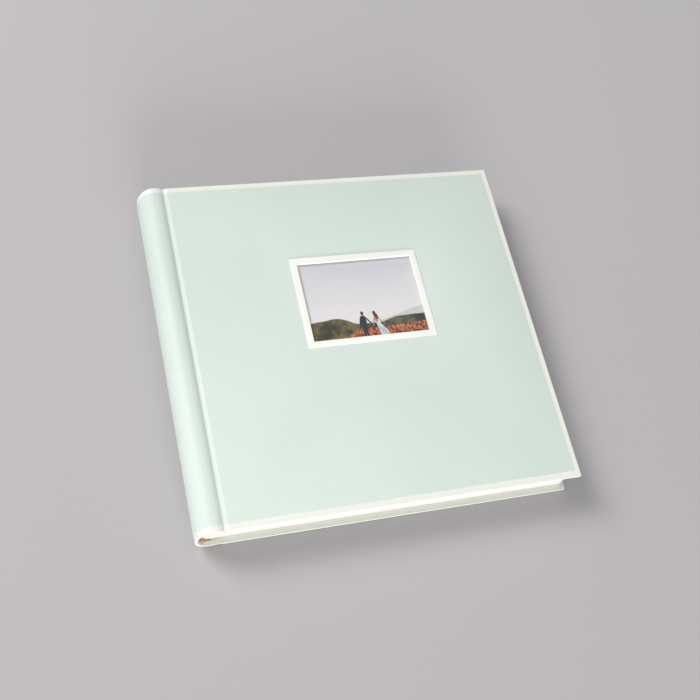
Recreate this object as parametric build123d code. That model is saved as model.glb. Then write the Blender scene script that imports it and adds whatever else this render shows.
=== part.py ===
"""A case-bound scrapbook album that lies closed on its rear cover.

X runs from the spine (-) to the fore-edge (+), Y from tail (-) to head (+), Z up from the rear
cover's outer face. The origin is under the middle of the closed album. All sizes are millimetres.
"""
from build123d import *
import os

# Covers
COVER_HEIGHT = 318.0      # tail to head
BOARD_WIDTH = 310.0       # hinge edge to fore-edge
BOARD = 2.4               # greyboard
CLOTH = 0.4               # ivory cloth, wrapped round the board
LEATHER = 0.5             # mint leather laid over the cloth
BORDER = 5.0              # ivory cloth left showing round the leather
TURN_IN = 15.0            # cloth folded over the board's inner face
PASTEDOWN = 0.3           # paper sheet that lines the inner face
PASTEDOWN_MARGIN = 4.0    # cloth left showing round the pastedown

# Window in the front cover
WINDOW_WIDTH = 107.3      # clear opening along X
WINDOW_HEIGHT = 76.7      # clear opening along Y
WINDOW_ABOVE_MIDDLE = 32.2
FRAME_BAND = 6.0          # width of the raised frame
FRAME_RISE = 0.8          # how far the frame stands above the leather
FRAME_WALL = 0.6          # lip that lines the sides of the opening
WINDOW_RECESS = 1.6       # leather's face down to the film
FILM = 0.3
PRINT = 0.3
POCKET_CLEARANCE = 0.1    # round the film, print and backing

# Spine and joints
GROOVE_WIDTH = 10.0       # flexible strip between the spine and the board
GROOVE_DEPTH = 2.0        # leather's face below the cover's face
JOINT_LINING = 0.6        # endpaper that crosses the joint
SPINE_DEPTH = 16.5        # spine's outermost line to the joint's fold
SPINE_RISE = 1.5          # how far the spine's ridge stands above the front cover
SHOULDER = 3.5            # straight part of the spine's section, next to the fold
FOLD_CLEARANCE = 0.85     # spine's edge to the fold
STRIP_FOLD_CLEARANCE = 0.05   # flexible strip's edge to the fold
STRIP_BOARD_CLEARANCE = 0.3   # flexible strip's other edge to the board
STIFFENER = 1.6           # card that holds the spine's curve
KRAFT = 0.4               # brown paper lining glued inside the spine

# Book block
LEAF_COUNT = 20           # album leaves between the two flyleaves
LEAF = 1.1                # one leaf, a card sheet in its sleeve
LEAF_GAP = 0.33           # air between closed leaves
FLYLEAF_CLEARANCE = 0.4   # outermost leaf to the cover's inner face
SQUARE = 5.0              # how far the covers stand past the leaves
STACK_GAP = 0.12          # air between leaves when they are turned upright
GUARD_CLEARANCE = 0.15    # guard's edge to the end of its leaf
GUARD_GAP = 0.1           # air between neighbouring guards
HOLLOW = 3.0              # block's back to the kraft lining, at the middle
BACK_ROUND = 6.0          # depth of the block's rounded back
MULL = 0.5                # cloth glued over the block's back
ENDBAND_LENGTH = 2.2      # how far an endband stands past the leaves
ENDBAND_INSIDE = 1.0      # how far it laps over the ends of the guards
ENDBAND_OUTSIDE = 0.9     # how far it stands behind them

# Sizes that follow
COVER = LEATHER + CLOTH + BOARD + CLOTH + PASTEDOWN
LEAVES = LEAF_COUNT + 2
PITCH = LEAF + LEAF_GAP
BLOCK = LEAVES * PITCH - LEAF_GAP
THICKNESS = BLOCK + 2 * (COVER + FLYLEAF_CLEARANCE)
LENGTH = SPINE_DEPTH + GROOVE_WIDTH + BOARD_WIDTH

FORE_EDGE = LENGTH / 2
BOARD_EDGE = FORE_EDGE - BOARD_WIDTH
FOLD = BOARD_EDGE - GROOVE_WIDTH
HEAD = COVER_HEIGHT / 2
LEAF_HEAD = HEAD - SQUARE
LEAF_FORE_EDGE = FORE_EDGE - SQUARE

CLOTH_TOP = LEATHER
BOARD_TOP = CLOTH_TOP + CLOTH
BOARD_BOTTOM = BOARD_TOP + BOARD
TURN_IN_BOTTOM = BOARD_BOTTOM + CLOTH

JOINT_CLOTH = GROOVE_DEPTH + LEATHER
JOINT_PAPER = JOINT_CLOTH + CLOTH
FOLD_DEPTH = JOINT_CLOTH + CLOTH / 2

SPINE_HALF_HEIGHT = (THICKNESS + SPINE_RISE) / 2
SPINE_CENTRE = FOLD - SHOULDER
SPINE_HALF_DEPTH = SPINE_DEPTH - SHOULDER
SPINE_SHELL = LEATHER + CLOTH + STIFFENER + CLOTH + KRAFT

BACK_EDGE = SPINE_CENTRE - SPINE_HALF_DEPTH + SPINE_SHELL + HOLLOW + BACK_ROUND
BACK_HALF_HEIGHT = BLOCK / 2 + MULL

WINDOW_X = (BOARD_EDGE + FORE_EDGE) / 2
POCKET_WIDTH = WINDOW_WIDTH + 2 * FRAME_WALL
POCKET_HEIGHT = WINDOW_HEIGHT + 2 * FRAME_WALL
BACKING_TOP = WINDOW_RECESS + FILM + PRINT


def slab(x, y, z):
    """A box between two values along each axis."""
    (x0, x1), (y0, y1), (z0, z1) = sorted(x), sorted(y), sorted(z)
    middle = Pos((x0 + x1) / 2, (y0 + y1) / 2, (z0 + z1) / 2)
    return middle * Box(x1 - x0, y1 - y0, z1 - z0)


def front(depth):
    """Height of a layer at this depth below the front cover's face."""
    return THICKNESS - depth


def rear(depth):
    """Height of a layer at this depth above the rear cover's face."""
    return depth


def window_slab(width, height, z):
    """A box centred on the window."""
    return slab(
        (WINDOW_X - width / 2, WINDOW_X + width / 2),
        (WINDOW_ABOVE_MIDDLE - height / 2, WINDOW_ABOVE_MIDDLE + height / 2),
        z,
    )


# ---- Covers -------------------------------------------------------------------------------------
def cover_layer(level, top, bottom, inset):
    """One layer of a cover, set in from the head, tail and fore-edge."""
    half = HEAD - inset
    return slab((BOARD_EDGE, FORE_EDGE - inset), (-half, half), (level(top), level(bottom)))


def cover_board(level):
    return cover_layer(level, BOARD_TOP, BOARD_BOTTOM, CLOTH)


def cover_cloth(level):
    wrapped = cover_layer(level, CLOTH_TOP, TURN_IN_BOTTOM, 0)
    inside_turn_in = cover_layer(level, BOARD_BOTTOM, TURN_IN_BOTTOM, TURN_IN)
    return wrapped - cover_board(level) - inside_turn_in


def cover_leather(level):
    return cover_layer(level, 0, LEATHER, BORDER)


def cover_pastedown(level):
    """The lining sheet with the card that fills the space inside the turn-in."""
    fill = cover_layer(level, BOARD_BOTTOM, TURN_IN_BOTTOM, TURN_IN)
    return fill + cover_layer(level, TURN_IN_BOTTOM, COVER, PASTEDOWN_MARGIN)


def with_window(layer):
    """A front cover layer with the window's pocket cut through it."""
    return layer - window_slab(POCKET_WIDTH, POCKET_HEIGHT, (front(0), front(BOARD_BOTTOM)))


# ---- Window -------------------------------------------------------------------------------------
def window_frame():
    """A raised border with a lip that lines the sides of the opening."""
    width, height = WINDOW_WIDTH + 2 * FRAME_BAND, WINDOW_HEIGHT + 2 * FRAME_BAND
    border = window_slab(width, height, (front(0), front(-FRAME_RISE)))
    lip = window_slab(POCKET_WIDTH, POCKET_HEIGHT, (front(0), front(WINDOW_RECESS)))
    opening = (front(-FRAME_RISE), front(WINDOW_RECESS))
    return border + lip - window_slab(WINDOW_WIDTH, WINDOW_HEIGHT, opening)


def pocket_sheet(top, bottom):
    """A flat sheet held in the window's pocket."""
    slack = 2 * POCKET_CLEARANCE
    return window_slab(POCKET_WIDTH - slack, POCKET_HEIGHT - slack, (front(top), front(bottom)))


# ---- Flexible joints between the spine and the covers --------------------------------------------
def joint_strip(level, top, bottom, inset):
    half = HEAD - inset
    across = (FOLD + STRIP_FOLD_CLEARANCE, BOARD_EDGE - STRIP_BOARD_CLEARANCE)
    return slab(across, (-half, half), (level(top), level(bottom)))


# ---- Spine --------------------------------------------------------------------------------------
def spine_section(offset, half_length, right_edge):
    """The solid inside the spine's outer surface, this far in from it: a half ellipse and a shoulder."""
    half_height = SPINE_HALF_HEIGHT - offset
    centre = (SPINE_CENTRE, 0, SPINE_HALF_HEIGHT)
    with BuildPart() as section:
        with BuildSketch(Plane(origin=centre, x_dir=(1, 0, 0), z_dir=(0, -1, 0))):
            Ellipse(SPINE_HALF_DEPTH - offset, half_height)
            with Locations((LENGTH / 2, 0)):
                Rectangle(LENGTH, 3 * half_height, mode=Mode.SUBTRACT)
            shoulder = right_edge - SPINE_CENTRE
            with Locations((shoulder / 2, 0)):
                Rectangle(shoulder, 2 * half_height)
        extrude(amount=half_length, both=True)
    return section.part


def spine_shell(outer, thickness, inset):
    """A curved layer of the spine, set in from the head and tail."""
    half = HEAD - inset
    solid = spine_section(outer, half, FOLD - FOLD_CLEARANCE)
    return solid - spine_section(outer + thickness, half + 1, FOLD)


def spine_stiffener():
    return spine_shell(LEATHER + CLOTH, STIFFENER, CLOTH)


def spine_cloth():
    """Ivory cloth round the stiffener, turned in at the head and tail."""
    wrapped = spine_shell(LEATHER, CLOTH + STIFFENER + CLOTH, 0)
    between = HEAD - TURN_IN
    inner_layer = spine_section(LEATHER + CLOTH + STIFFENER, between, FOLD)
    return wrapped - spine_stiffener() - inner_layer


def spine_kraft():
    """Brown paper between the turned-in ends, and over them."""
    return spine_shell(SPINE_SHELL - KRAFT, KRAFT, PASTEDOWN_MARGIN)


# ---- Book block ---------------------------------------------------------------------------------
def leaf_height(k):
    """Middle of leaf k, counted from the rear flyleaf."""
    return COVER + FLYLEAF_CLEARANCE + LEAF / 2 + k * PITCH


def leaf_fold(k):
    """Where leaf k bends. The folds step away from the spine towards the middle of the block, so
    that the leaves lie side by side when they are turned upright."""
    from_outside = min(k, LEAVES - 1 - k)
    first = COVER + FLYLEAF_CLEARANCE + LEAF / 2 - FOLD_DEPTH
    return FOLD + first + from_outside * (LEAF + STACK_GAP)


def leaf(k):
    z = leaf_height(k)
    across = (leaf_fold(k), LEAF_FORE_EDGE)
    return slab(across, (-LEAF_HEAD, LEAF_HEAD), (z - LEAF / 2, z + LEAF / 2))


def back_solid(offset, half_length):
    """An elliptical solid that is the block's rounded back, grown by an offset."""
    centre = (BACK_EDGE, 0, THICKNESS / 2)
    with BuildPart() as solid:
        with BuildSketch(Plane(origin=centre, x_dir=(1, 0, 0), z_dir=(0, -1, 0))):
            Ellipse(BACK_ROUND + offset, BACK_HALF_HEIGHT + offset)
            with Locations((LENGTH / 2, 0)):
                Rectangle(LENGTH, 2 * BLOCK, mode=Mode.SUBTRACT)
        extrude(amount=half_length, both=True)
    return solid.part


def page_guards():
    """One stub for each leaf, from the block's rounded back to the leaf's fold."""
    rounded = back_solid(0, LEAF_HEAD)
    stubs = []
    for k in range(LEAVES):
        z = leaf_height(k)
        half = (PITCH - GUARD_GAP) / 2
        if k in (0, LEAVES - 1):
            half = LEAF / 2
        end = leaf_fold(k) - LEAF / 2 - GUARD_CLEARANCE
        levels = (z - half, z + half)
        straight = slab((BACK_EDGE, end), (-LEAF_HEAD, LEAF_HEAD), levels)
        behind = slab((BACK_EDGE - BACK_ROUND - 1, BACK_EDGE), (-LEAF_HEAD, LEAF_HEAD), levels)
        stubs.append(straight + (rounded & behind))
    return stubs


def back_lining():
    """Mull over the rounded back."""
    return back_solid(MULL, LEAF_HEAD) - back_solid(0, LEAF_HEAD + 1)


def endband(side):
    """A curved bead on the end of the block's back, at the head (1) or the tail (-1)."""
    ring = back_solid(ENDBAND_OUTSIDE, HEAD) - back_solid(-ENDBAND_INSIDE, HEAD + 1)
    reach = (BACK_EDGE - 2 * BACK_ROUND, BACK_EDGE)
    ends = (side * LEAF_HEAD, side * (LEAF_HEAD + ENDBAND_LENGTH))
    middle = THICKNESS / 2
    return ring & slab(reach, ends, (middle - BLOCK / 2, middle + BLOCK / 2))


# ---- Every piece by name -------------------------------------------------------------------------
def leaf_name(k):
    if k == 0:
        return "rear_flyleaf"
    if k == LEAVES - 1:
        return "front_flyleaf"
    return f"leaf_{LEAVES - 1 - k:02d}"


pieces = {
    "rear_board": cover_board(rear),
    "rear_cloth": cover_cloth(rear),
    "rear_leather": cover_leather(rear),
    "rear_pastedown": cover_pastedown(rear),
    "front_board": with_window(cover_board(front)),
    "front_cloth": with_window(cover_cloth(front)),
    "front_leather": with_window(cover_leather(front)),
    "front_pastedown": cover_pastedown(front),
    "window_frame": window_frame(),
    "window_film": pocket_sheet(WINDOW_RECESS, WINDOW_RECESS + FILM),
    "photo_print": pocket_sheet(WINDOW_RECESS + FILM, BACKING_TOP),
    "print_backing": pocket_sheet(BACKING_TOP, BOARD_BOTTOM),
    "spine_stiffener": spine_stiffener(),
    "spine_cloth": spine_cloth(),
    "spine_leather": spine_shell(0, LEATHER, BORDER),
    "spine_kraft_lining": spine_kraft(),
    "back_lining": back_lining(),
    "page_guards": page_guards(),
    "head_endband": endband(1),
    "tail_endband": endband(-1),
}
for side, level in (("front", front), ("rear", rear)):
    pieces[f"{side}_joint_leather"] = joint_strip(level, GROOVE_DEPTH, JOINT_CLOTH, BORDER)
    pieces[f"{side}_joint_cloth"] = joint_strip(level, JOINT_CLOTH, JOINT_PAPER, 0)
    paper = joint_strip(level, JOINT_PAPER, JOINT_PAPER + JOINT_LINING, PASTEDOWN_MARGIN)
    pieces[f"{side}_joint_lining"] = paper
for k in range(LEAVES):
    pieces[leaf_name(k)] = leaf(k)

os.makedirs("parts", exist_ok=True)
for name, piece in pieces.items():
    solids = piece if isinstance(piece, list) else piece.solids()
    shape = Compound(children=list(solids)) if len(solids) > 1 else solids[0]
    shape.label = name
    export_step(shape, f"parts/{name}.step")

print(f"{len(pieces)} pieces, {LENGTH:.1f} x {COVER_HEIGHT:.1f} x {THICKNESS + SPINE_RISE:.2f} mm")
print(f"rear fold at x {FOLD:.3f}, z {FOLD_DEPTH:.3f}; front fold at z {front(FOLD_DEPTH):.3f}")
print(f"front board edge at x {BOARD_EDGE:.3f}, face at z {front(0):.3f}")
for k in range(LEAVES):
    print(f"{leaf_name(k)} fold at x {leaf_fold(k):.3f}, z {leaf_height(k):.3f}")
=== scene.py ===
import math
import random

import bmesh
import bpy
from mathutils import Matrix, Vector


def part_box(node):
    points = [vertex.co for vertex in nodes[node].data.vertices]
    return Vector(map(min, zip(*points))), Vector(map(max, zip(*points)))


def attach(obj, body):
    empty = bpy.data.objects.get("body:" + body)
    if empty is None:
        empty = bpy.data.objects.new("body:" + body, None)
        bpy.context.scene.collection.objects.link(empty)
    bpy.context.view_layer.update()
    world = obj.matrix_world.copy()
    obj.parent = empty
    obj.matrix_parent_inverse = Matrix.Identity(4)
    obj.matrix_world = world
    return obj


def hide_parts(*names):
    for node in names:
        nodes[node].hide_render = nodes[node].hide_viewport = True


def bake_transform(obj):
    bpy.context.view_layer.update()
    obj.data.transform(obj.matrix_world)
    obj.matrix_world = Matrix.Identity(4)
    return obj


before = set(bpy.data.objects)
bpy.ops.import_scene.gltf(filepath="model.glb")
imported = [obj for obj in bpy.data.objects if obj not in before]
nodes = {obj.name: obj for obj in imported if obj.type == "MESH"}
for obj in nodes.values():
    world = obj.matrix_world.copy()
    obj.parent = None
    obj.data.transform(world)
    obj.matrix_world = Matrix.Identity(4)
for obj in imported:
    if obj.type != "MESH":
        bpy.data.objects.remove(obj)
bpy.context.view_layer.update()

# ---- Front cover: mint leather --------------------------------------------------------------------
# A sheet of mint leather, glued over the cloth so that an ivory border shows round it. It rolls
# over the board's edge into a pressed groove, where the spine's leather meets it. Each layer of
# the case follows the same line at its own depth.
MM = 0.001
TOUCH = 1e-6
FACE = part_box("front_leather")[1].z
BOARD_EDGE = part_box("front_cloth")[0].x
FORE_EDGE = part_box("front_cloth")[1].x
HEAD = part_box("front_cloth")[1].y
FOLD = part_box("front_joint_leather")[0].x - 0.05 * MM
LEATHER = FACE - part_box("front_cloth")[1].z
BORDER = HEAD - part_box("front_leather")[1].y
GROOVE_DEPTH = 1.2 * MM
GROOVE_MIDDLE = FOLD + 5.8 * MM
GROOVE_RIGHT = FOLD + 6.2 * MM
ROLL_END = BOARD_EDGE - 0.4 * MM
EASE_STEPS = 12


def ease(start, end, steps=EASE_STEPS):
    """Points of a soft S from start to end, level at both, without the start."""
    points = []
    for i in range(1, steps + 1):
        t = i / steps
        rise = (1 - math.cos(math.pi * t)) / 2
        points.append((start[0] + (end[0] - start[0]) * t, start[1] + (end[1] - start[1]) * rise))
    return points


def front_line(depth, start):
    """From a place on the front cover to the middle of its groove."""
    face, groove = FACE - depth, FACE - GROOVE_DEPTH - depth
    return [(start, face), (ROLL_END, face), *ease((ROLL_END, face), (GROOVE_RIGHT, groove)),
            (GROOVE_MIDDLE, groove)]


def clear_selection():
    """Leaves edit mode and deselects everything."""
    if bpy.context.object and bpy.context.object.mode == "EDIT":
        bpy.ops.object.mode_set(mode="OBJECT")
    bpy.ops.object.select_all(action="DESELECT")


def choose(piece, kind, test):
    """In edit mode, selects only the elements whose middle and self pass a test."""
    bpy.ops.mesh.select_mode(type=kind)
    bpy.ops.mesh.select_all(action="DESELECT")
    shape = bmesh.from_edit_mesh(piece.data)
    items = {"VERT": shape.verts, "EDGE": shape.edges, "FACE": shape.faces}[kind]
    for item in items:
        if kind == "VERT":
            middle = item.co
        elif kind == "EDGE":
            middle = (item.verts[0].co + item.verts[1].co) / 2
        else:
            middle = item.calc_center_median()
        item.select_set(test(middle, item))
    bmesh.update_edit_mesh(piece.data)


def start_piece(name):
    """Names the primitive just added, puts its place in its mesh and opens it for editing."""
    piece = bpy.context.object
    piece.name = piece.data.name = name
    bpy.ops.object.transform_apply(location=True, rotation=True, scale=True)
    bpy.ops.object.mode_set(mode="EDIT")
    return piece


def finish_piece(piece, smooth=35):
    """Closes edit mode and shades the piece smooth across its soft edges."""
    clear_selection()
    piece.select_set(True)
    bpy.context.view_layer.objects.active = piece
    bpy.ops.object.shade_smooth_by_angle(angle=math.radians(smooth))
    return piece


def straight_piece(name, outline, tail, head):
    """A closed solid with a constant section: an edge is drawn round an outline of (x, z) points,
    and the two ends are filled. It stays in edit mode."""
    clear_selection()
    bpy.ops.mesh.primitive_plane_add(size=1)
    piece = start_piece(name)
    choose(piece, "VERT", lambda at, _: at.x > 0)
    bpy.ops.mesh.delete(type="VERT")
    bpy.ops.mesh.select_all(action="SELECT")
    bpy.ops.transform.resize(value=(1, head - tail, 1))
    x, z = outline[0]
    bpy.ops.transform.translate(value=(x + 0.5, (head + tail) / 2, z))
    for (x0, z0), (x1, z1) in zip(outline, outline[1:] + outline[:1]):
        bpy.ops.mesh.extrude_region_move(TRANSFORM_OT_translate={"value": (x1 - x0, 0, z1 - z0)})
    bpy.ops.mesh.select_all(action="SELECT")
    bpy.ops.mesh.remove_doubles(threshold=TOUCH)
    for end in (tail, head):
        choose(piece, "EDGE", lambda at, edge: all(abs(v.co.y - end) < TOUCH for v in edge.verts))
        bpy.ops.mesh.edge_face_add()
    bpy.ops.mesh.select_all(action="SELECT")
    bpy.ops.mesh.normals_make_consistent(inside=False)
    return piece


def cut(piece, *cutters):
    """Takes each cutter's solid out of a piece, in object mode, and deletes the cutter."""
    clear_selection()
    for cutter in cutters:
        step = piece.modifiers.new("cut", "BOOLEAN")
        step.operation = "DIFFERENCE"
        step.solver = "EXACT"
        step.object = cutter
        bpy.context.view_layer.objects.active = piece
        bpy.ops.object.modifier_apply(modifier=step.name)
        bpy.data.objects.remove(cutter)
    return piece


def block(name, low, high):
    """A plain cutter box between two corners."""
    clear_selection()
    middle = [(a + b) / 2 for a, b in zip(low, high)]
    bpy.ops.mesh.primitive_cube_add(size=1, location=middle, scale=[b - a for a, b in zip(low, high)])
    piece = start_piece(name)
    bpy.ops.object.mode_set(mode="OBJECT")
    return piece


def soften(piece, width, test, segments=3):
    """Rounds the edges that pass a test, in edit mode."""
    choose(piece, "EDGE", test)
    bpy.ops.mesh.bevel(offset=width, segments=segments, affect="EDGES", clamp_overlap=True)


POCKET_LOW, POCKET_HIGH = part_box("window_film")
POCKET_SLACK = 0.1 * MM


def pocket_cutter():
    """The window's pocket, through the front cover's leather, cloth and board."""
    low = (POCKET_LOW.x - POCKET_SLACK, POCKET_LOW.y - POCKET_SLACK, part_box("front_board")[0].z)
    high = (POCKET_HIGH.x + POCKET_SLACK, POCKET_HIGH.y + POCKET_SLACK, FACE + MM)
    return block("pocket_cutter", low, high)


LEATHER_EDGE = 0.2 * MM
leather_half = HEAD - BORDER


def leather_sheet(name, line, outer_x=None):
    """A strip of leather between a line at the surface and the same line at its full depth."""
    piece = straight_piece(name, line(0) + line(LEATHER)[::-1], -leather_half, leather_half)

    def at_border(at, edge):
        on_end = abs(abs(at.y) - leather_half) < TOUCH
        outer = {(round(x, 6), round(z, 6)) for x, z in line(0)}
        return on_end and all((round(v.co.x, 6), round(v.co.z, 6)) in outer for v in edge.verts)

    soften(piece, LEATHER_EDGE, at_border, 2)
    if outer_x is not None:
        surface = line(0)[0][1] if abs(line(0)[0][0] - outer_x) < TOUCH else line(0)[-1][1]
        soften(piece, LEATHER_EDGE, lambda at, _: (
            abs(at.x - outer_x) < TOUCH and abs(at.z - surface) < TOUCH), 2)
    return piece


def material(name, colour, roughness):
    """A new material and its shader, with a plain colour and roughness to begin with."""
    made = bpy.data.materials.new(name)
    made.use_nodes = True
    shader = made.node_tree.nodes["Principled BSDF"]
    shader.inputs["Base Color"].default_value = (*colour, 1)
    shader.inputs["Roughness"].default_value = roughness
    return made, shader


def add(tree, kind, values=(), **settings):
    """Adds a node, with its settings and the values or links of its inputs."""
    node = tree.nodes.new(kind)
    for key, value in settings.items():
        setattr(node, key, value)
    for key, value in dict(values).items():
        if isinstance(value, bpy.types.NodeSocket):
            tree.links.new(value, node.inputs[key])
        else:
            node.inputs[key].default_value = value
    return node


def group(name, inputs, outputs):
    """An empty shader node group with named inputs and outputs."""
    tree = bpy.data.node_groups.new(name, "ShaderNodeTree")
    kinds = {"value": "NodeSocketFloat", "colour": "NodeSocketColor", "place": "NodeSocketVector"}
    for socket, kind in inputs.items():
        tree.interface.new_socket(socket, in_out="INPUT", socket_type=kinds[kind])
    for socket, kind in outputs.items():
        tree.interface.new_socket(socket, in_out="OUTPUT", socket_type=kinds[kind])
    return tree, tree.nodes.new("NodeGroupInput").outputs, tree.nodes.new("NodeGroupOutput").inputs


def use_group(made, tree, values):
    """Puts a node group in a material, with the values or links of its inputs."""
    node = made.node_tree.nodes.new("ShaderNodeGroup")
    node.node_tree = tree
    for key, value in values.items():
        if isinstance(value, bpy.types.NodeSocket):
            made.node_tree.links.new(value, node.inputs[key])
        else:
            node.inputs[key].default_value = value
    return node


def object_place(made):
    """The object's own coordinates, in metres."""
    return add(made.node_tree, "ShaderNodeTexCoord").outputs["Object"]


def mixed(tree, factor, first, second, blend="MIX"):
    """Mixes two colours."""
    node = tree.nodes.new("ShaderNodeMix")
    node.data_type = "RGBA"
    node.blend_type = blend
    for socket, value in ((node.inputs[0], factor), (node.inputs[6], first), (node.inputs[7], second)):
        if isinstance(value, bpy.types.NodeSocket):
            tree.links.new(value, socket)
        elif isinstance(value, (int, float)):
            socket.default_value = value
        else:
            socket.default_value = (*value, 1)
    return node.outputs[2]


def bump(made, shader, height, depth, strength=1.0):
    """Raises the surface by a height from 0 to 1, times a depth in metres."""
    node = add(made.node_tree, "ShaderNodeBump",
               {"Height": height, "Distance": depth, "Strength": strength})
    made.node_tree.links.new(node.outputs["Normal"], shader.inputs["Normal"])


# Leather grain: small rounded pebbles, broken up by finer wrinkles, with slow patches of tone.
grain, grain_in, grain_out = group(
    "leather_grain", {"Place": "place", "Pebble": "value"}, {"Height": "value", "Patch": "value"})
pebbles = add(grain, "ShaderNodeTexVoronoi", {"Vector": grain_in["Place"], "Scale": grain_in["Pebble"]},
              feature="SMOOTH_F1")
wrinkles = add(grain, "ShaderNodeTexNoise", {"Vector": grain_in["Place"], "Scale": 2600, "Detail": 3})
patches = add(grain, "ShaderNodeTexNoise", {"Vector": grain_in["Place"], "Scale": 9, "Detail": 4})
rounded = add(grain, "ShaderNodeMath", {0: 1.0, 1: pebbles.outputs["Distance"]}, operation="SUBTRACT")
creased = add(grain, "ShaderNodeMath", {0: wrinkles.outputs["Fac"], 1: 0.35, 2: rounded.outputs[0]},
              operation="MULTIPLY_ADD")
grain.links.new(creased.outputs[0], grain_out["Height"])
grain.links.new(patches.outputs["Fac"], grain_out["Patch"])

MINT = (0.636, 0.707, 0.656)
MINT_DEEP = (0.607, 0.690, 0.635)
mint, mint_shader = material("mint_leather", MINT, 0.57)
mint_grain = use_group(mint, grain, {"Place": object_place(mint), "Pebble": 1150.0})
tone = add(mint.node_tree, "ShaderNodeMapRange",
           {"Value": mint_grain.outputs["Patch"], "From Min": 0.35, "From Max": 0.65})
# The grain's low places, between the pebbles, are darkened a little: painted shade in the creases.
pit = add(mint.node_tree, "ShaderNodeMapRange",
          {"Value": mint_grain.outputs["Height"], "From Min": 0.35, "From Max": 1.0})
base = mixed(mint.node_tree, tone.outputs[0], MINT, MINT_DEEP)
pit_shade = mixed(mint.node_tree, pit.outputs[0], (0.93, 0.95, 0.94), (1, 1, 1))
mint_tone_and_pit_shade = mixed(mint.node_tree, 1.0, base, pit_shade, "MULTIPLY")
mint.node_tree.links.new(mint_tone_and_pit_shade, mint_shader.inputs["Base Color"])
sheen = add(mint.node_tree, "ShaderNodeMapRange",
            {"Value": mint_grain.outputs["Patch"], "From Min": 0.3, "From Max": 0.7,
             "To Min": 0.52, "To Max": 0.62})
mint.node_tree.links.new(sheen.outputs[0], mint_shader.inputs["Roughness"])
mint_shader.inputs["Specular IOR Level"].default_value = 0.2
bump(mint, mint_shader, mint_grain.outputs["Height"], 0.00004, 0.55)


def dress(piece, *finishes):
    """Gives a piece its materials in place of any it has."""
    piece.data.materials.clear()
    for finish in finishes:
        piece.data.materials.append(finish)


front_panel = leather_sheet(
    "front_leather_panel", lambda depth: front_line(depth, FORE_EDGE - BORDER), FORE_EDGE - BORDER)
cut(front_panel, pocket_cutter())
finish_piece(front_panel)
dress(front_panel, mint)
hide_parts("front_leather", "front_joint_leather")
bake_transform(front_panel)

# ---- Front cover: ivory cloth ---------------------------------------------------------------------
# Book cloth wrapped round the board at the head, tail and fore-edge and turned in 15 mm. Its rims
# are soft, because the cloth is pulled over the board's corners.
TURN_IN = 15 * MM
RIM = 0.6 * MM
LAP = 0.01 * MM
HINGE_CUTS = 20
lining_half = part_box("front_joint_lining")[1].y + 0.05 * MM
joint_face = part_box("front_joint_cloth")[0].z
board_low, board_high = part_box("front_board")
inner_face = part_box("front_cloth")[0].z


def rim_test(outer_line):
    """True for an end edge that lies on the outer line, and for each edge at the fore-edge."""
    outer = {(round(x, 6), round(z, 6)) for x, z in outer_line}

    def on_rim(at, edge):
        ends = [abs(abs(v.co.y) - HEAD) < TOUCH for v in edge.verts]
        outside = [(round(v.co.x, 6), round(v.co.z, 6)) in outer for v in edge.verts]
        fore_edge = all(abs(v.co.x - FORE_EDGE) < TOUCH for v in edge.verts)
        return (all(ends) and all(outside)) or fore_edge

    return on_rim


def cover_cloth(name, outer_line, inner_line, board, turn_in_low, turn_in_high, joint_low, joint_high):
    """The wrapped cloth, with the space of the board, the open middle of its inner face, and the
    middle of the joint, where only one layer crosses, cut out of it. The joint's cutter has many
    steps across, so that the cloth it leaves can bend."""
    piece = straight_piece(name, outer_line + inner_line, -HEAD, HEAD)
    soften(piece, RIM, rim_test(outer_line), 4)
    board_space = block("board_space", board[0], board[1])
    middle = block("turn_in_space", turn_in_low, turn_in_high)
    joint_space = block("joint_space", joint_low, joint_high)
    bpy.ops.object.mode_set(mode="EDIT")
    choose(joint_space, "EDGE", lambda _, edge: abs(edge.verts[0].co.x - edge.verts[1].co.x) > TOUCH)
    bpy.ops.mesh.subdivide(number_cuts=HINGE_CUTS)
    bpy.ops.object.mode_set(mode="OBJECT")
    return cut(piece, board_space, middle, joint_space)


FOLDED = 0.4 * MM
folded_end = [(FORE_EDGE, inner_face), (BOARD_EDGE, inner_face)]
folded_end += ease((BOARD_EDGE, inner_face), (GROOVE_MIDDLE, joint_face - FOLDED))
front_cloth = cover_cloth(
    "front_cloth_wrap", front_line(LEATHER, FORE_EDGE), folded_end[::-1], (board_low, board_high),
    (BOARD_EDGE - MM, -HEAD + TURN_IN, inner_face - MM),
    (FORE_EDGE - TURN_IN, HEAD - TURN_IN, board_low.z + LAP),
    (GROOVE_MIDDLE - MM, -lining_half, inner_face - MM), (BOARD_EDGE + TOUCH, lining_half, joint_face))
cut(front_cloth, pocket_cutter())
finish_piece(front_cloth)

# Cloth weave: two crossing sets of threads, with uneven thickness along each.
weave, weave_in, weave_out = group(
    "cloth_weave", {"Place": "place", "Threads": "value"}, {"Height": "value", "Slub": "value"})
split = add(weave, "ShaderNodeSeparateXYZ", {"Vector": weave_in["Place"]})
across = add(weave, "ShaderNodeMath", {0: split.outputs["X"], 1: split.outputs["Z"]}, operation="ADD")
slub = add(weave, "ShaderNodeTexNoise", {"Vector": weave_in["Place"], "Scale": 420, "Detail": 3})


def threads(along):
    phase = add(weave, "ShaderNodeMath", {0: along, 1: weave_in["Threads"]}, operation="MULTIPLY")
    shifted = add(weave, "ShaderNodeMath", {0: slub.outputs["Fac"], 1: 2.5, 2: phase.outputs[0]},
                  operation="MULTIPLY_ADD")
    wave = add(weave, "ShaderNodeMath", {0: shifted.outputs[0]}, operation="SINE")
    return add(weave, "ShaderNodeMath", {0: wave.outputs[0]}, operation="ABSOLUTE").outputs[0]


crossing = add(weave, "ShaderNodeMath", {0: threads(across.outputs[0]), 1: threads(split.outputs["Y"])},
               operation="MULTIPLY")
weave.links.new(crossing.outputs[0], weave_out["Height"])
weave.links.new(slub.outputs["Fac"], weave_out["Slub"])

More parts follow.
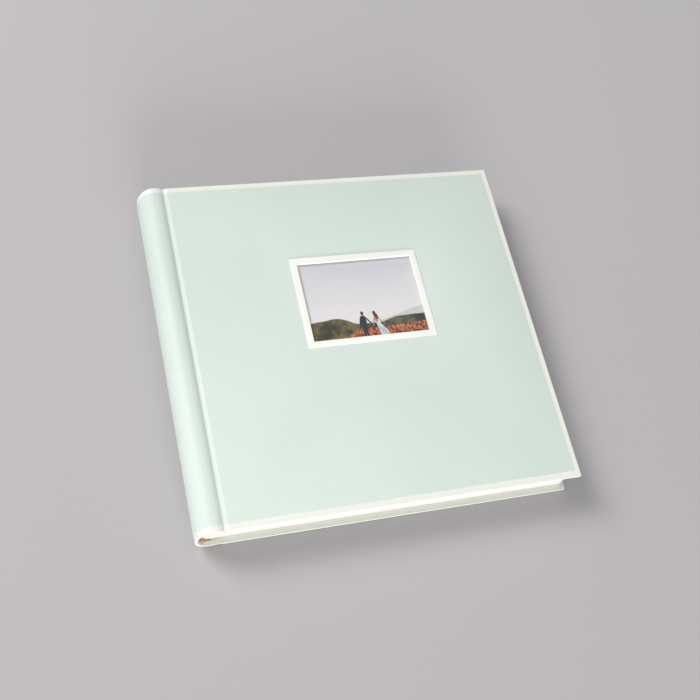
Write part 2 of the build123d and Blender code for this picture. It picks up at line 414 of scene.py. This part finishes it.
IVORY = (0.815, 0.825, 0.770)
IVORY_DEEP = (0.775, 0.785, 0.715)
ivory, ivory_shader = material("ivory_cloth", IVORY, 0.6)
ivory_weave = use_group(ivory, weave, {"Place": object_place(ivory), "Threads": 7000.0})
ivory_tone = mixed(ivory.node_tree, ivory_weave.outputs["Slub"], IVORY, IVORY_DEEP)
# Between the threads the cloth is darkened a little: painted shade in the weave's hollows.
ivory_pit_shade = mixed(ivory.node_tree, ivory_weave.outputs["Height"], (0.94, 0.94, 0.93), (1, 1, 1))
ivory.node_tree.links.new(mixed(ivory.node_tree, 1.0, ivory_tone, ivory_pit_shade, "MULTIPLY"),
                          ivory_shader.inputs["Base Color"])
ivory_shader.inputs["Sheen Weight"].default_value = 0.08
bump(ivory, ivory_shader, ivory_weave.outputs["Height"], 0.00004, 0.5)

dress(front_cloth, ivory)
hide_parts("front_cloth", "front_joint_cloth")
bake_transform(front_cloth)

# ---- Boards and their linings ---------------------------------------------------------------------
# Grey bookbinder's board, pressed from waste paper, with a paper sheet pasted over the turned-in
# cloth on its inner face.
fibre, fibre_in, fibre_out = group(
    "paper_fibre", {"Place": "place", "Size": "value"}, {"Height": "value", "Fleck": "value"})
pulp = add(fibre, "ShaderNodeTexNoise",
           {"Vector": fibre_in["Place"], "Scale": fibre_in["Size"], "Detail": 6, "Roughness": 0.65})
stretched = add(fibre, "ShaderNodeMapping",
                {"Vector": fibre_in["Place"], "Scale": (900.0, 140.0, 900.0)})
strands = add(fibre, "ShaderNodeTexNoise", {"Vector": stretched.outputs[0], "Scale": 1.0, "Detail": 4})
flecks = add(fibre, "ShaderNodeMapRange",
             {"Value": strands.outputs["Fac"], "From Min": 0.58, "From Max": 0.72})
fibre.links.new(pulp.outputs["Fac"], fibre_out["Height"])
fibre.links.new(flecks.outputs[0], fibre_out["Fleck"])


def paper(name, light, dark, roughness=0.85, fleck=0.35, depth=0.00003):
    """Paper or card: fibres in two tones, a felted surface."""
    made, shader = material(name, light, roughness)
    fibres = use_group(made, fibre, {"Place": object_place(made), "Size": 700.0})
    felt = mixed(made.node_tree, fibres.outputs["Height"], light, dark)
    amount = add(made.node_tree, "ShaderNodeMath", {0: fibres.outputs["Fleck"], 1: fleck},
                 operation="MULTIPLY")
    flecked = mixed(made.node_tree, amount.outputs[0], felt, tuple(c * 0.8 for c in dark))
    made.node_tree.links.new(flecked, shader.inputs["Base Color"])
    bump(made, shader, fibres.outputs["Height"], depth, 0.5)
    return made


greyboard = paper("greyboard", (0.44, 0.41, 0.36), (0.30, 0.28, 0.25), 0.9, 0.7, 0.00006)
for name in ("front_board", "rear_board", "print_backing"):
    dress(nodes[name], greyboard)

endpaper = paper("endpaper", (0.815, 0.808, 0.700), (0.785, 0.775, 0.655))
for name in ("front_pastedown", "rear_pastedown"):
    dress(nodes[name], endpaper)

# ---- Window ---------------------------------------------------------------------------------------
# A raised ivory frame glued over the cut edge of the leather, with a lip that lines the opening.
# Behind it a clear film, the print and a card backing lie in the pocket.
FRAME_EDGE = 0.3 * MM
frame_low, frame_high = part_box("window_frame")
FRAME_BAND = 6 * MM
LIP_WALL = 0.6 * MM


def window_frame():
    """A slab inset and tunnelled from both faces, so that the border and its lip are one piece."""
    size = (frame_high.x - frame_low.x, frame_high.y - frame_low.y, frame_high.z - FACE)
    middle = (frame_low + frame_high) / 2
    middle.z = (frame_high.z + FACE) / 2
    clear_selection()
    bpy.ops.mesh.primitive_cube_add(size=1, location=middle, scale=size)
    piece = start_piece("window_frame_border")
    choose(piece, "FACE", lambda at, face: face.normal.z > 0.5)
    bpy.ops.mesh.inset(thickness=FRAME_BAND)
    choose(piece, "FACE", lambda at, face: face.normal.z < -0.5)
    bpy.ops.mesh.inset(thickness=FRAME_BAND - LIP_WALL)
    bpy.ops.mesh.extrude_region_move(TRANSFORM_OT_translate={"value": (0, 0, frame_low.z - FACE)})
    bpy.ops.mesh.inset(thickness=LIP_WALL)
    inner = (size[0] - 2 * FRAME_BAND) * (size[1] - 2 * FRAME_BAND)
    choose(piece, "FACE", lambda at, face: (
        abs(face.normal.z) > 0.5 and abs(face.calc_area() / inner - 1) < 0.01))
    bpy.ops.mesh.bridge_edge_loops()
    bpy.ops.mesh.select_all(action="SELECT")
    bpy.ops.mesh.normals_make_consistent(inside=False)
    soften(piece, FRAME_EDGE, lambda at, edge: edge.is_manifold and edge.calc_face_angle(0) > 1, 4)
    return finish_piece(piece)


border = window_frame()
ivory_leather, frame_shader = material("ivory_leather", IVORY, 0.45)
frame_grain = use_group(ivory_leather, grain, {"Place": object_place(ivory_leather), "Pebble": 1500.0})
frame_tone = mixed(ivory_leather.node_tree, frame_grain.outputs["Patch"],
                   (0.845, 0.850, 0.795), (0.815, 0.820, 0.760))
ivory_leather.node_tree.links.new(frame_tone, frame_shader.inputs["Base Color"])
bump(ivory_leather, frame_shader, frame_grain.outputs["Height"], 0.00003, 0.5)
dress(border, ivory_leather)
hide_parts("window_frame")
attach(border, "front_cover")

film, film_shader = material("clear_film", (0.97, 0.98, 0.98), 0.08)
film_shader.inputs["Alpha"].default_value = 0.03
film_shader.inputs["Coat Weight"].default_value = 0.4
scratches = add(film.node_tree, "ShaderNodeTexNoise",
                {"Vector": object_place(film), "Scale": 300.0, "Detail": 2})
haze = add(film.node_tree, "ShaderNodeMapRange",
           {"Value": scratches.outputs["Fac"], "To Min": 0.06, "To Max": 0.14})
film.node_tree.links.new(haze.outputs[0], film_shader.inputs["Roughness"])
dress(nodes["window_film"], film)

# The print: an open hillside under a pale sky, with two small walkers seen from behind.
# It is drawn by formula across the sheet, from 0 to 1 each way.
print_low, print_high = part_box("photo_print")
print_finish, print_shader = material("print_paper", (0.8, 0.8, 0.8), 0.38)
ink = print_finish.node_tree


def number(operation, *values, clamp=False):
    node = add(ink, "ShaderNodeMath", dict(enumerate(values)), operation=operation)
    node.use_clamp = clamp
    return node.outputs[0]


def ramp(value, low, high, to_low=0.0, to_high=1.0):
    """A soft step of a value between two limits."""
    node = add(ink, "ShaderNodeMapRange", {"Value": value, "From Min": low, "From Max": high,
                                           "To Min": to_low, "To Max": to_high})
    node.interpolation_type = "SMOOTHSTEP"
    return node.outputs[0]


def speckle(scale, detail=3.0, stretch=(1.0, 1.0, 1.0)):
    sized = add(ink, "ShaderNodeMapping", {"Vector": object_place(print_finish), "Scale": stretch})
    node = add(ink, "ShaderNodeTexNoise", {"Vector": sized.outputs[0], "Scale": scale, "Detail": detail})
    return node.outputs["Fac"]


sheet_place = add(ink, "ShaderNodeSeparateXYZ", {"Vector": object_place(print_finish)})
from_left = number("SUBTRACT", sheet_place.outputs["X"], print_low.x)
from_bottom = number("SUBTRACT", sheet_place.outputs["Y"], print_low.y)
sheet_u = number("DIVIDE", from_left, print_high.x - print_low.x)
sheet_v = number("DIVIDE", from_bottom, print_high.y - print_low.y)

SOFT_EDGE = 0.006


def below(ridge):
    """1 under a ridge line and 0 above it."""
    gap = number("SUBTRACT", ridge, sheet_v)
    return ramp(gap, -SOFT_EDGE, SOFT_EDGE)


def ridge(base, *waves):
    """A skyline: a level, plus each (amount, value) added to it."""
    level = base
    for amount, value in waves:
        level = number("MULTIPLY_ADD", value, amount, level)
    return level


rough = speckle(90, 5)
bumps = speckle(28, 3)
sky = mixed(ink, ramp(sheet_v, 0.2, 1.0), (0.70, 0.68, 0.68), (0.52, 0.52, 0.56))
clouds = speckle(22, 4, (0.5, 1.4, 1.0))
picture = mixed(ink, ramp(clouds, 0.35, 0.75, 0.0, 0.3), sky, (0.72, 0.70, 0.70))
far_rise = ramp(sheet_u, 0.52, 1.02)
far = below(ridge(0.17, (0.15, far_rise), (0.05, bumps)))
picture = mixed(ink, number("MULTIPLY", far, 0.8), picture, (0.50, 0.51, 0.47))
mid_rise = ramp(sheet_u, 0.58, 0.80)
middle_hills = below(ridge(0.145, (0.065, mid_rise), (0.04, bumps), (0.03, rough)))
woods = mixed(ink, ramp(rough, 0.4, 0.65), (0.018, 0.022, 0.016), (0.13, 0.115, 0.065))
picture = mixed(ink, middle_hills, picture, woods)
hump = number("MULTIPLY", ramp(sheet_u, -0.30, 0.20), ramp(sheet_u, 0.46, 0.22))
near_hill = below(ridge(0.13, (0.105, hump), (0.06, bumps), (0.02, rough)))
near_hill = number("MULTIPLY", near_hill, ramp(sheet_u, 0.62, 0.50))
slope_tone = mixed(ink, ramp(rough, 0.42, 0.66), (0.030, 0.030, 0.014), (0.17, 0.13, 0.05))
picture = mixed(ink, near_hill, picture, slope_tone)
blades = speckle(520, 5, (1.0, 0.7, 1.0))
meadow = below(ridge(-0.045, (0.12, ramp(sheet_u, 0.18, 0.46)), (0.03, ramp(sheet_u, 0.46, 1.0)),
                     (0.05, bumps), (0.03, rough)))
grass = mixed(ink, ramp(blades, 0.38, 0.60), (0.10, 0.024, 0.010), (0.60, 0.20, 0.085))
shade = number("MULTIPLY", ramp(sheet_v, 0.09, -0.02), ramp(sheet_u, 0.55, 1.0))
grass = mixed(ink, number("MULTIPLY", shade, 0.8), grass, (0.05, 0.018, 0.010))
picture = mixed(ink, meadow, picture, grass)

# One soft oval of ink, turned by an angle. The walkers are a few of these each.
dab, dab_in, dab_out = group(
    "ink_dab", {"U": "value", "V": "value", "At U": "value", "At V": "value", "Half Width": "value",
                "Half Height": "value", "Lean": "value"}, {"Mask": "value"})


def dab_number(operation, *values):
    return add(dab, "ShaderNodeMath", dict(enumerate(values)), operation=operation).outputs[0]


off_v = dab_number("SUBTRACT", dab_in["V"], dab_in["At V"])
leaning = dab_number("MULTIPLY", off_v, dab_in["Lean"])
off_u = dab_number("SUBTRACT", dab_number("SUBTRACT", dab_in["U"], dab_in["At U"]), leaning)
oval_u = dab_number("POWER", dab_number("DIVIDE", off_u, dab_in["Half Width"]), 2.0)
oval_v = dab_number("POWER", dab_number("DIVIDE", off_v, dab_in["Half Height"]), 2.0)
inside = add(dab, "ShaderNodeMapRange",
             {"Value": dab_number("ADD", oval_u, oval_v), "From Min": 1.25, "From Max": 0.85})
dab.links.new(inside.outputs[0], dab_out["Mask"])


def walker(picture, at_u, at_v, parts):
    """Adds ovals of (colour, u, v, half width, half height, lean) to the picture."""
    for colour, u, v, half_width, half_height, lean in parts:
        oval = use_group(print_finish, dab, {
            "U": sheet_u, "V": sheet_v, "At U": at_u + u, "At V": at_v + v,
            "Half Width": half_width, "Half Height": half_height, "Lean": lean})
        picture = mixed(ink, oval.outputs["Mask"], picture, colour)
    return picture


DARK_COAT = (0.012, 0.014, 0.018)
PALE_SKIRT = (0.62, 0.65, 0.70)
SKIRT_FOLD = (0.36, 0.40, 0.46)
SKIN = (0.40, 0.22, 0.15)
BROWN_HAIR = (0.09, 0.028, 0.015)
picture = walker(picture, 0.458, 0.005, [
    (DARK_COAT, -0.009, 0.085, 0.010, 0.092, 0.02), (DARK_COAT, 0.011, 0.085, 0.010, 0.090, -0.05),
    (DARK_COAT, 0.001, 0.150, 0.020, 0.055, 0.0), (DARK_COAT, 0.000, 0.212, 0.026, 0.070, 0.0),
    (DARK_COAT, -0.027, 0.195, 0.008, 0.072, 0.14), (DARK_COAT, 0.050, 0.198, 0.007, 0.075, -0.50),
    (SKIN, 0.002, 0.284, 0.007, 0.014, 0.0), ((0.02, 0.012, 0.010), 0.002, 0.308, 0.012, 0.024, 0.0)])
picture = walker(picture, 0.605, 0.005, [
    (PALE_SKIRT, 0.012, 0.050, 0.036, 0.060, -0.20), (PALE_SKIRT, -0.004, 0.100, 0.026, 0.070, -0.25),
    (PALE_SKIRT, -0.022, 0.160, 0.017, 0.055, -0.20), (SKIRT_FOLD, 0.018, 0.060, 0.006, 0.062, -0.45),
    (SKIRT_FOLD, -0.004, 0.070, 0.004, 0.070, -0.30), (SKIN, -0.035, 0.222, 0.015, 0.042, 0.0),
    (SKIN, -0.060, 0.192, 0.005, 0.058, 0.16), (SKIN, 0.006, 0.196, 0.005, 0.055, -0.55),
    (BROWN_HAIR, -0.032, 0.262, 0.016, 0.044, -0.20), (BROWN_HAIR, -0.042, 0.300, 0.013, 0.026, 0.0)])
ink.links.new(picture, print_shader.inputs["Base Color"])
dress(nodes["photo_print"], print_finish)

# ---- Spine: card and lining -----------------------------------------------------------------------
# A strip of card, rolled to a half round and held by the cloth turned in at its ends. Brown kraft
# paper lines its hollow.
SPINE_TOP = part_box("spine_leather")[1].z
SPINE_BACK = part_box("spine_leather")[0].x
RIDGE = FOLD - 3.5 * MM
CREST = FOLD - 3.0 * MM
GROOVE_LEFT = FOLD + 5.4 * MM
SPINE_STEPS = 30
SAG_POWER = 2.6


def sag(start, end, steps=EASE_STEPS):
    """Points of a curve that leaves start level and steepens towards end, without the start."""
    across, down = end[0] - start[0], end[1] - start[1]
    points = []
    for i in range(1, steps + 1):
        t = i / steps
        points.append((start[0] + across * t, start[1] + down * t ** SAG_POWER))
    return points


def spine_line(depth, first=None):
    """From the middle of the front groove, over the spine, to the ridge beside the rear groove."""
    groove, ridge = FACE - GROOVE_DEPTH - depth, SPINE_TOP - depth
    centre, across, up = SPINE_TOP / 2, RIDGE - SPINE_BACK - depth, SPINE_TOP / 2 - depth
    line = [(GROOVE_MIDDLE, groove), *sag((CREST, ridge), (GROOVE_LEFT, groove))[::-1],
            (CREST, ridge), (RIDGE, ridge)]
    for i in range(1, SPINE_STEPS + 1):
        turn = math.pi * i / SPINE_STEPS
        line.append((RIDGE - across * math.sin(turn), centre + up * math.cos(turn)))
    return [point for point in line if first is None or point[0] <= first]


def rear_fold_line(depth, last=None):
    """From the spine's lower ridge to the middle of the rear groove."""
    groove = GROOVE_DEPTH + depth
    line = [(RIDGE, depth), (CREST, depth), *sag((CREST, depth), (GROOVE_LEFT, groove)),
            (GROOVE_MIDDLE, groove)]
    return [point for point in line if last is None or point[0] <= last]


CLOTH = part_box("front_cloth")[1].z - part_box("front_board")[1].z
STIFFENER = 1.6 * MM
CARD_EDGE = RIDGE
CARD_CORNER = 0.3 * MM
CARD_OUT = LEATHER + CLOTH
CARD_IN = CARD_OUT + STIFFENER


def card_line(depth):
    return spine_line(depth, CARD_EDGE) + rear_fold_line(depth, CARD_EDGE)[1:]


card_half = HEAD - CLOTH
card_outline = card_line(CARD_OUT) + card_line(CARD_IN)[::-1]
card = straight_piece("spine_card", card_outline, -card_half, card_half)
soften(card, CARD_CORNER, lambda at, edge: (
    all(abs(abs(v.co.y) - card_half) < TOUCH for v in edge.verts)), 2)
finish_piece(card)
spine_card = paper("spine_card", (0.52, 0.40, 0.27), (0.40, 0.29, 0.18), 0.88, 0.6, 0.00005)
dress(card, spine_card)
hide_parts("spine_stiffener")
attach(card, "binding")

kraft = paper("kraft_paper", (0.42, 0.25, 0.12), (0.30, 0.17, 0.075), 0.85, 0.8, 0.00005)
dress(nodes["spine_kraft_lining"], kraft)

# ---- Spine: ivory cloth and mint leather ----------------------------------------------------------
# The same cloth and leather carry on over the spine. The cloth is turned in over the card's ends,
# so the spine's head and foot show a plump ivory rim.
SPINE_IN = CARD_IN + CLOTH
INNER_RIM = 0.9 * MM
INNER_STEPS = 16
spine_inner = spine_line(SPINE_IN, RIDGE)
front_inner = ease((GROOVE_MIDDLE, joint_face - FOLDED), (RIDGE, SPINE_TOP - SPINE_IN), INNER_STEPS)
spine_outline = spine_line(LEATHER) + spine_inner[::-1] + front_inner[:-1][::-1]
spine_outline += [(GROOVE_MIDDLE, joint_face - FOLDED)]
spine_cloth = straight_piece("spine_cloth_wrap", spine_outline, -HEAD, HEAD)
soften(spine_cloth, RIM, rim_test(spine_line(LEATHER)), 4)
soften(spine_cloth, INNER_RIM, rim_test(spine_inner), 3)
past_ridge = RIDGE + LAP
card_ends = [(past_ridge, CARD_OUT), (past_ridge, CARD_IN)]
card_room = spine_line(CARD_OUT, CARD_EDGE) + card_ends + spine_line(CARD_IN, CARD_EDGE)[::-1]
card_space = straight_piece("card_space", card_room, -card_half, card_half)
bpy.ops.object.mode_set(mode="OBJECT")
open_half = HEAD - TURN_IN
past_cloth = SPINE_IN + MM
hollow_ends = [(past_ridge, CARD_IN), (past_ridge, past_cloth)]
hollow = spine_line(CARD_IN, CARD_EDGE) + hollow_ends + spine_line(past_cloth, CARD_EDGE)[::-1]
hollow_space = straight_piece("hollow_space", hollow, -open_half, open_half)
bpy.ops.object.mode_set(mode="OBJECT")
front_joint_space = block(
    "front_joint_space", (GROOVE_LEFT, -lining_half, joint_face - MM),
    (GROOVE_MIDDLE + MM, lining_half, joint_face))
cut(spine_cloth, card_space, hollow_space, front_joint_space)
finish_piece(spine_cloth)
dress(spine_cloth, ivory)
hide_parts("spine_cloth")
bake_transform(spine_cloth)

spine_leather = leather_sheet("spine_leather_cover", spine_line)
finish_piece(spine_leather)
dress(spine_leather, mint)
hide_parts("spine_leather")
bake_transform(spine_leather)

# ---- Rear joint -----------------------------------------------------------------------------------
# Below the spine the leather and cloth bend again, from the spine's lower ridge to the rear cover.
# The cloth is double at the head and tail, where it is turned in, and single between them.
rear_fold_leather = leather_sheet("rear_fold_leather", rear_fold_line)
finish_piece(rear_fold_leather)
dress(rear_fold_leather, mint)
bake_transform(rear_fold_leather)

rear_joint_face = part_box("rear_joint_cloth")[1].z
fold_end = (GROOVE_MIDDLE, rear_joint_face + FOLDED)
fold_inner = [(RIDGE, SPINE_IN)] + ease((RIDGE, SPINE_IN), fold_end, INNER_STEPS)
fold_cloth = straight_piece("rear_fold_cloth", rear_fold_line(LEATHER) + fold_inner[::-1], -HEAD, HEAD)
soften(fold_cloth, RIM, rim_test(rear_fold_line(LEATHER)), 4)
cut(fold_cloth, block("rear_joint_space", (RIDGE + MM, -lining_half, rear_joint_face),
                      (GROOVE_MIDDLE + MM, lining_half, rear_joint_face + MM)))
finish_piece(fold_cloth)
dress(fold_cloth, ivory)
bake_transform(fold_cloth)

# ---- Rear cover -----------------------------------------------------------------------------------
# Mint leather glued over ivory cloth on greyboard, made as the front cover is but without a
# window. It stays flat, so it rides on its own body.


def rear_line(depth, end):
    """From the middle of the rear groove to a place on the rear cover."""
    groove = GROOVE_DEPTH + depth
    return [(GROOVE_MIDDLE, groove), (GROOVE_RIGHT, groove),
            *ease((GROOVE_RIGHT, groove), (ROLL_END, depth)), (end, depth)]


rear_panel = leather_sheet(
    "rear_leather_panel", lambda depth: rear_line(depth, FORE_EDGE - BORDER), FORE_EDGE - BORDER)
finish_piece(rear_panel)
dress(rear_panel, mint)
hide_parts("rear_leather", "rear_joint_leather")
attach(rear_panel, "rear_cover")

rear_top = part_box("rear_cloth")[1].z
rear_board_low, rear_board_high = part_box("rear_board")
rear_inner = ease((GROOVE_MIDDLE, rear_joint_face + FOLDED), (BOARD_EDGE, rear_top))
rear_inner = [(GROOVE_MIDDLE, rear_joint_face + FOLDED)] + rear_inner + [(FORE_EDGE, rear_top)]
rear_cloth = cover_cloth(
    "rear_cloth_wrap", rear_line(LEATHER, FORE_EDGE), rear_inner[::-1],
    (rear_board_low, rear_board_high),
    (BOARD_EDGE - MM, -HEAD + TURN_IN, rear_board_high.z - LAP),
    (FORE_EDGE - TURN_IN, HEAD - TURN_IN, rear_top + MM),
    (GROOVE_MIDDLE - MM, -lining_half, rear_joint_face),
    (BOARD_EDGE + TOUCH, lining_half, rear_top + MM))
finish_piece(rear_cloth)
dress(rear_cloth, ivory)
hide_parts("rear_cloth", "rear_joint_cloth")
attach(rear_cloth, "rear_cover")

# ---- Endpaper joints ------------------------------------------------------------------------------
# The endpaper crosses each groove from the pastedown to the block. At the front it bends with
# the cover.
LINING = 0.3 * MM
front_lining_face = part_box("front_joint_lining")[0].z
pastedown_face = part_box("front_pastedown")[0].z


def joint_lining(name, joint_z, cover_z, inward):
    """A paper strip from the fold, over the board's edge, onto the pastedown."""
    start = FOLD + 0.3 * MM
    climb = BOARD_EDGE - 3 * MM
    top = BOARD_EDGE + 0.4 * MM
    end = BOARD_EDGE + 2 * MM
    half = lining_half - 0.1 * MM

    def line(depth):
        low = joint_z + depth
        bend = ease((climb, low), (top, cover_z + depth), steps=8)
        return [(start, low), (start + 2 * MM, low), (climb, low), *bend, (end, cover_z + depth)]

    piece = straight_piece(name, line(0) + line(inward * LINING)[::-1], -half, half)
    finish_piece(piece)
    dress(piece, endpaper)
    return piece


front_lining = joint_lining("front_joint_endpaper", front_lining_face, pastedown_face, -0.5)
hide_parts("front_joint_lining")
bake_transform(front_lining)
rear_lining = joint_lining(
    "rear_joint_endpaper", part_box("rear_joint_lining")[1].z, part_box("rear_pastedown")[1].z, 0.5)
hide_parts("rear_joint_lining")
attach(rear_lining, "rear_cover")

# ---- Leaves ---------------------------------------------------------------------------------------
# Twenty card leaves, each in a welded sleeve, between two plain card flyleaves. A leaf bends where
# it leaves its guard, and its corners and edges are never quite in line with the next one's.
LEAF_EDGE = 0.25 * MM
GUARD_END = 0.7 * MM
WELD_INSET = 4 * MM
WELD_WIDTH = 0.7 * MM
WELD_DEPTH = 0.12 * MM
UNEVEN = 0.35 * MM
PAGE_AREA = 0.05
random.seed(12)
BEND_STEPS = (0.0, 0.35, 0.7, 1.05, 1.4, 1.9)

leaf_finish = paper("album_leaf", (0.865, 0.865, 0.868), (0.835, 0.835, 0.842), 0.55, 0.12, 0.00002)
leaf_shader = leaf_finish.node_tree.nodes["Principled BSDF"]
leaf_shader.inputs["Coat Weight"].default_value = 0.15


def leaf_piece(name, low, high, welded):
    """A leaf a little smaller than its space, with steps near its fold where it bends."""
    bend = [low.x - GUARD_END + step * MM for step in BEND_STEPS]
    right = high.x - random.uniform(0, UNEVEN)
    under, over = low.z, high.z
    outline = [(x, over) for x in bend] + [(right, over), (right, under)]
    outline += [(x, under) for x in bend[::-1]]
    tail = low.y + random.uniform(0, UNEVEN)
    head = high.y - random.uniform(0, UNEVEN)
    piece = straight_piece(name, outline, tail, head)
    last = bend[-1]
    soften(piece, LEAF_EDGE, lambda at, edge: (
        all(v.co.x > last - TOUCH for v in edge.verts) and at.x > last + TOUCH
        and edge.calc_face_angle(0) > 1), 2)
    if welded:
        choose(piece, "FACE", lambda at, face: abs(face.normal.z) > 0.9 and face.calc_area() > PAGE_AREA)
        bpy.ops.mesh.inset(thickness=WELD_INSET)
        bpy.ops.mesh.inset(thickness=WELD_WIDTH, depth=-WELD_DEPTH)
        bpy.ops.mesh.inset(thickness=WELD_WIDTH, depth=WELD_DEPTH)
    return finish_piece(piece)


leaf_names = [name for name in nodes if name.startswith("leaf_") or name.endswith("flyleaf")]
for name in sorted(leaf_names):
    low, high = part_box(name)
    plain = name.endswith("flyleaf")
    piece = leaf_piece(name + "_sheet", low, high, not plain)
    dress(piece, endpaper if plain else leaf_finish)
    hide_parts(name)
    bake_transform(piece)

# ---- Back of the block ----------------------------------------------------------------------------
# Paper guards carry the leaves. They are glued together into a rounded back, and open-woven
# cotton mull is glued over it.
guard_paper = paper("guard_paper", (0.780, 0.765, 0.690), (0.720, 0.700, 0.610), 0.85, 0.25)
dress(nodes["page_guards"], guard_paper)

mull, mull_shader = material("mull", (0.66, 0.61, 0.48), 0.9)
mull_weave = use_group(mull, weave, {"Place": object_place(mull), "Threads": 2600.0})
# The threads are light and the low places between them dark brown: painted shade in the weave's gaps.
mull_threads_and_gap_shade = mixed(mull.node_tree, mull_weave.outputs["Height"], (0.42, 0.34, 0.22), (0.72, 0.67, 0.54))
mull.node_tree.links.new(mull_threads_and_gap_shade, mull_shader.inputs["Base Color"])
bump(mull, mull_shader, mull_weave.outputs["Height"], 0.0001, 0.7)
dress(nodes["back_lining"], mull)

# ---- Endbands -------------------------------------------------------------------------------------
# A cord wound with brown and gold silk by turns, glued along the head and tail of the block's
# back. Each turn of the thread is a ring.
WRAP_PITCH = 0.85 * MM
WRAP_THREAD = 0.46 * MM
RING = 0.62 * MM
RING_REACH = 0.95 * MM
RING_SLANT = 0.18
ARC_STEPS = 200


def silk(name, light, dark):
    """Silk thread: a bright strand tone broken by fine twisted lines."""
    made, shader = material(name, light, 0.42)
    lines = add(made.node_tree, "ShaderNodeTexNoise",
                {"Vector": object_place(made), "Scale": 3500.0, "Detail": 2})
    strand_tone = mixed(made.node_tree, lines.outputs["Fac"], light, dark)
    made.node_tree.links.new(strand_tone, shader.inputs["Base Color"])
    shader.inputs["Sheen Weight"].default_value = 0.3
    bump(made, shader, lines.outputs["Fac"], 0.00005, 0.6)
    return made


brown_silk = silk("brown_silk", (0.14, 0.055, 0.02), (0.06, 0.022, 0.010))
gold_silk = silk("gold_silk", (0.74, 0.44, 0.15), (0.52, 0.28, 0.08))


def endband(name):
    """Thread rings set close together along the rounded back, brown and gold by turns."""
    low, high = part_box(name)
    back_edge, centre = high.x, (low.z + high.z) / 2
    across = back_edge - low.x - RING_REACH
    up = (high.z - low.z) / 2 - RING_REACH
    turns = [math.pi * i / ARC_STEPS for i in range(ARC_STEPS + 1)]
    points = [(back_edge - across * math.sin(t), centre + up * math.cos(t)) for t in turns]
    runs = [math.dist(a, b) for a, b in zip(points, points[1:])]
    length = sum(runs)
    count = int(length / WRAP_PITCH)
    rings = []
    for i in range(1, count):
        want, travelled, k = length * i / count, 0, 0
        while travelled + runs[k] < want:
            travelled += runs[k]
            k += 1
        share = (want - travelled) / runs[k]
        step_x = points[k + 1][0] - points[k][0]
        step_z = points[k + 1][1] - points[k][1]
        x = points[k][0] + step_x * share
        z = points[k][1] + step_z * share
        along = Vector((step_x, RING_SLANT * runs[k], step_z))
        turn = along.to_track_quat("Z", "Y").to_euler()
        bpy.ops.object.select_all(action="DESELECT")
        bpy.ops.mesh.primitive_torus_add(
            major_segments=12, minor_segments=6, major_radius=RING, minor_radius=WRAP_THREAD,
            location=(x, (low.y + high.y) / 2, z), rotation=turn)
        ring = bpy.context.object
        dress(ring, brown_silk if i % 2 else gold_silk)
        rings.append(ring)
    bpy.ops.object.select_all(action="DESELECT")
    for ring in rings:
        ring.select_set(True)
    bpy.context.view_layer.objects.active = rings[0]
    bpy.ops.object.join()
    piece = start_piece(name + "_silk")
    bpy.ops.object.mode_set(mode="OBJECT")
    finish_piece(piece, 180)
    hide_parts(name)
    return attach(piece, "binding")


for name in ("head_endband", "tail_endband"):
    endband(name)

# ---- Floor, light and camera ----------------------------------------------------------------------
# A pale lavender grey floor, a broad soft light from beyond the spine's head, a low fill light in
# front of the tail, and a pale sky.
bpy.ops.object.select_all(action="DESELECT")
bpy.ops.mesh.primitive_plane_add(size=30)
floor = bpy.context.object
floor.name = "floor"
floor_finish, floor_shader = material("floor", (0.450, 0.434, 0.442), 0.9)
floor_shader.inputs["Specular IOR Level"].default_value = 0.1
dress(floor, floor_finish)


def soft_light(name, place, target, size, power, colour):
    lamp = bpy.data.lights.new(name, "AREA")
    lamp.size, lamp.energy, lamp.color = size, power, colour
    made = bpy.data.objects.new(name, lamp)
    bpy.context.scene.collection.objects.link(made)
    made.location = place
    made.rotation_euler = (Vector(target) - Vector(place)).to_track_quat("-Z", "Y").to_euler()


soft_light("window_light", (-2.9, 2.15, 3.3), (0, 0, 0), 2.2, 186, (1.0, 0.99, 0.98))
soft_light("fill_light", (-0.6, -6.0, 0.65), (0, 0, 0), 3.6, 520, (1.0, 0.995, 0.98))
world = bpy.data.worlds.new("studio")
bpy.context.scene.world = world
world.use_nodes = True
world.node_tree.nodes["Background"].inputs["Color"].default_value = (0.97, 0.98, 1.0, 1)
world.node_tree.nodes["Background"].inputs["Strength"].default_value = 0.5
bpy.context.scene.view_settings.view_transform = "Standard"

AZIMUTH, ELEVATION, ROLL = math.radians(-37.86), math.radians(60.81), math.radians(27.96)
DISTANCE = 0.9941
AIM = Vector((0.0031, 0.0003, 0))
lens = bpy.data.cameras.new("camera")
lens.lens = 56.25
lens.sensor_width = 36
lens.clip_start = 0.01
camera = bpy.data.objects.new("camera", lens)
bpy.context.scene.collection.objects.link(camera)
back = Vector((math.sin(AZIMUTH) * math.cos(ELEVATION), -math.cos(AZIMUTH) * math.cos(ELEVATION),
               math.sin(ELEVATION)))
right = Vector((math.cos(AZIMUTH), math.sin(AZIMUTH), 0))
up = back.cross(right)
turned_right = right * math.cos(ROLL) + up * math.sin(ROLL)
turned_up = up * math.cos(ROLL) - right * math.sin(ROLL)
camera.matrix_world = Matrix.Translation(AIM + back * DISTANCE) @ Matrix(
    (turned_right, turned_up, back)).transposed().to_4x4()
bpy.context.scene.camera = camera
